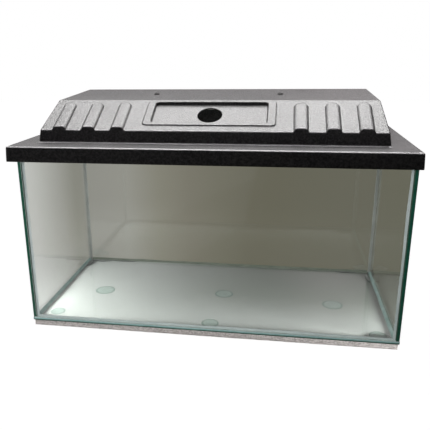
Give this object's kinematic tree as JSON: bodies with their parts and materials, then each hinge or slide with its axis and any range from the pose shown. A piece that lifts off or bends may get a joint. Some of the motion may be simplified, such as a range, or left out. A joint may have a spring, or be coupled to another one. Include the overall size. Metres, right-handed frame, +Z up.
{
  "type": "hamster cage",
  "caption": "Clear glass small-animal tank of bonded panes on a foam mat, with a lift-off black moulded hood that has a ribbed slope and a framed feeding hole.",
  "frame": {"origin": "centre of the footprint of the whole part, on the underside of the foam mat", "axes": "+X to the right along the longest side, seen from the front; the front faces -Y; +Z up"},
  "size_m": [0.619, 0.3128, 0.3782],
  "materials": {
    "glass": "clear polished float glass with green edges",
    "silicone": "translucent satin silicone",
    "foam": "speckled grey closed-cell foam, matt",
    "adhesive": "pale translucent adhesive",
    "hood_plastic": "fine-grained black, semi-gloss",
    "screw_steel": "plated, worn bright",
    "nut_steel": "plated",
    "batten_paint": "white powder coat",
    "board": "white solder resist",
    "diffuser": "opal, satin",
    "end_cap": "moulded, satin"
  },
  "bodies": {
    "tank": {"base_pane": "glass", "front_pane": "glass", "back_pane": "glass", "left_pane": "glass", "right_pane": "glass", "corner_seal_front_left": "silicone", "corner_seal_front_right": "silicone", "corner_seal_back_left": "silicone", "corner_seal_back_right": "silicone", "floor_seal_front": "silicone", "floor_seal_back": "silicone", "floor_seal_left": "silicone", "floor_seal_right": "silicone", "foam_mat": "foam", "adhesive_dab_1": "adhesive", "adhesive_dab_2": "adhesive", "adhesive_dab_3": "adhesive", "adhesive_dab_4": "adhesive", "adhesive_dab_5": "adhesive", "adhesive_dab_6": "adhesive"},
    "hood": {"hood_shell": "hood_plastic", "roof_screw_left": "screw_steel", "roof_screw_right": "screw_steel", "screw_washer_left": "nut_steel", "screw_washer_right": "nut_steel", "screw_nut_left": "nut_steel", "screw_nut_right": "nut_steel", "light_batten": "batten_paint", "led_board": "board", "light_diffuser": "diffuser", "batten_end_cap_left": "end_cap", "batten_end_cap_right": "end_cap"}
  },
  "joints": [
    {"name": "hood_lift", "type": "slide", "parent": "tank", "child": "hood", "axis": [0, 0, 1], "range_m": [0, 0.15]}
  ]
}
